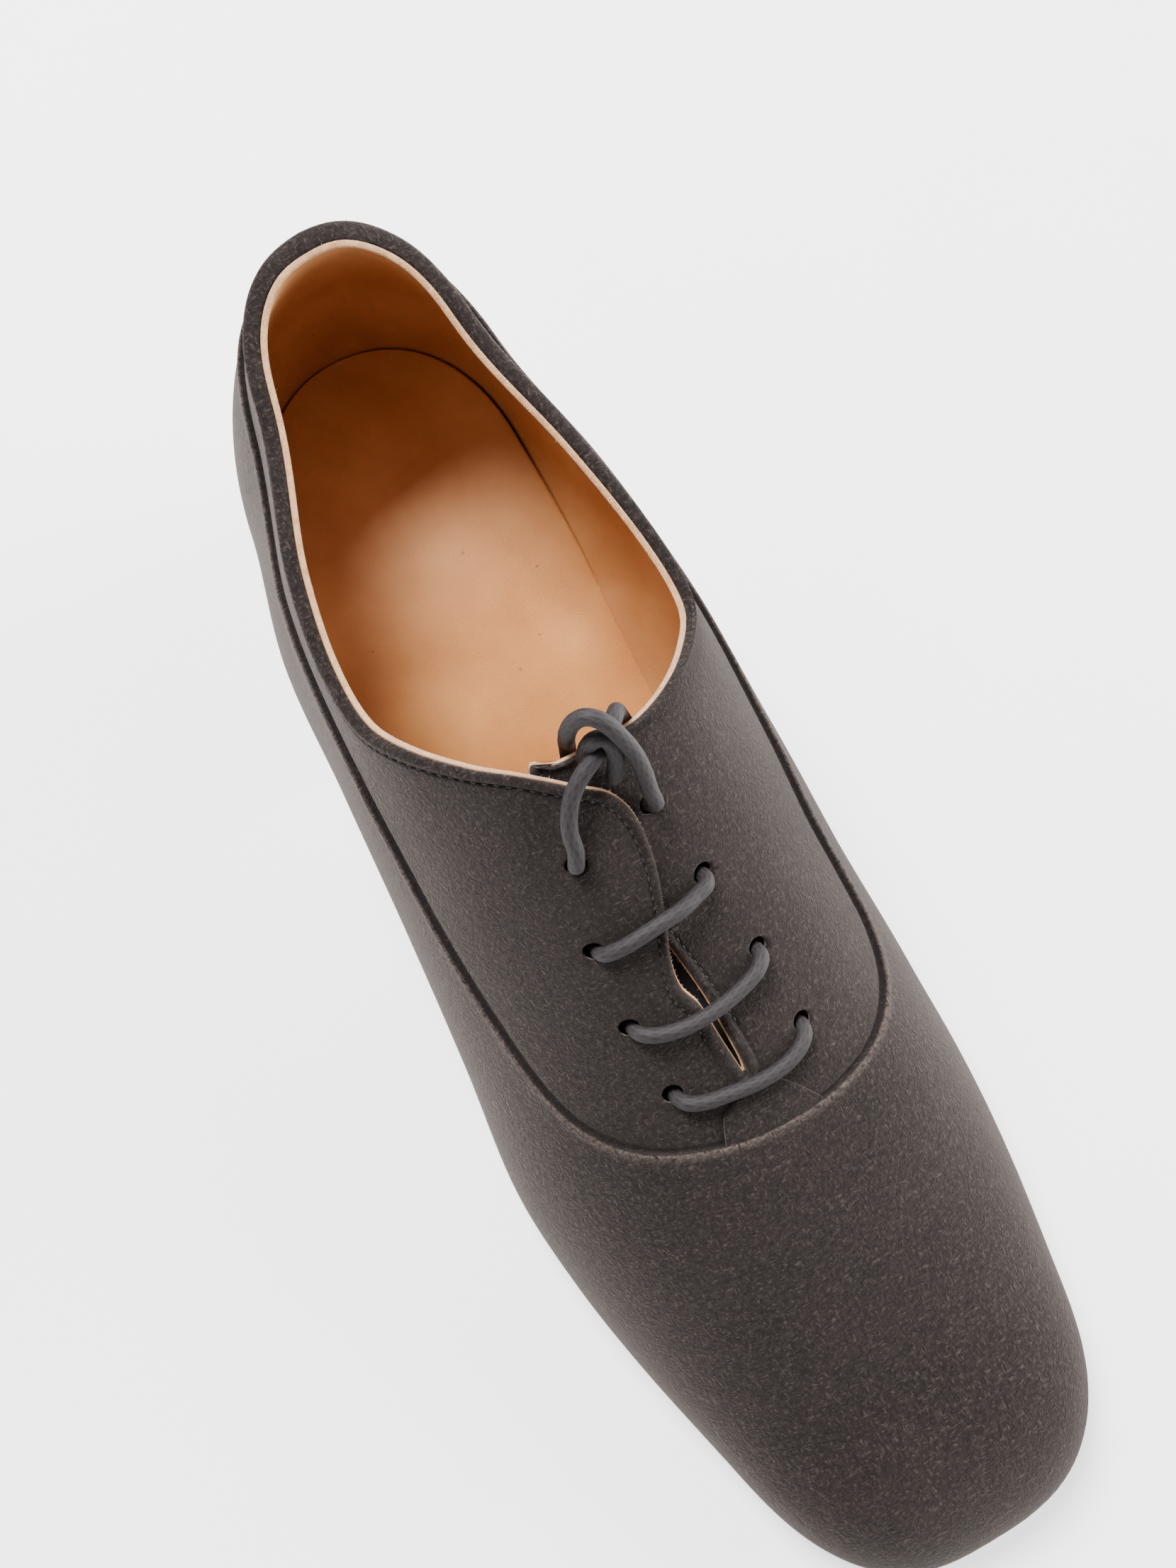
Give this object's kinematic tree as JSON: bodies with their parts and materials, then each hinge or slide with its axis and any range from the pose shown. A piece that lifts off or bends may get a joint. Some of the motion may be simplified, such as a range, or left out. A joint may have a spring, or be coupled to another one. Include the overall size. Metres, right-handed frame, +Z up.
{
  "type": "lace-up shoe",
  "caption": "Suede lace-up shoe for the right foot on a block heel, with an open collar, lapped facings and a knotted round lace.",
  "frame": {"origin": "middle of the heel's ground face", "axes": "+X to the toe, +Y to the inner side of the foot, +Z up"},
  "size_m": [0.2599, 0.0914, 0.1126],
  "materials": {
    "suede": "dark olive-grey suede with a short nap",
    "lining": "smooth natural tan leather",
    "sole": "matte dark grey",
    "heel": "satin dark grey",
    "lace": "waxed round cotton lace"
  },
  "bodies": {
    "root": {"upper": "suede", "insole": "lining", "outsole": "sole", "heel_block": "heel", "lace_bar_2": "lace", "lace_bar_3": "lace", "lace_bar_4": "lace", "lace_knot": "lace"}
  },
  "joints": []
}
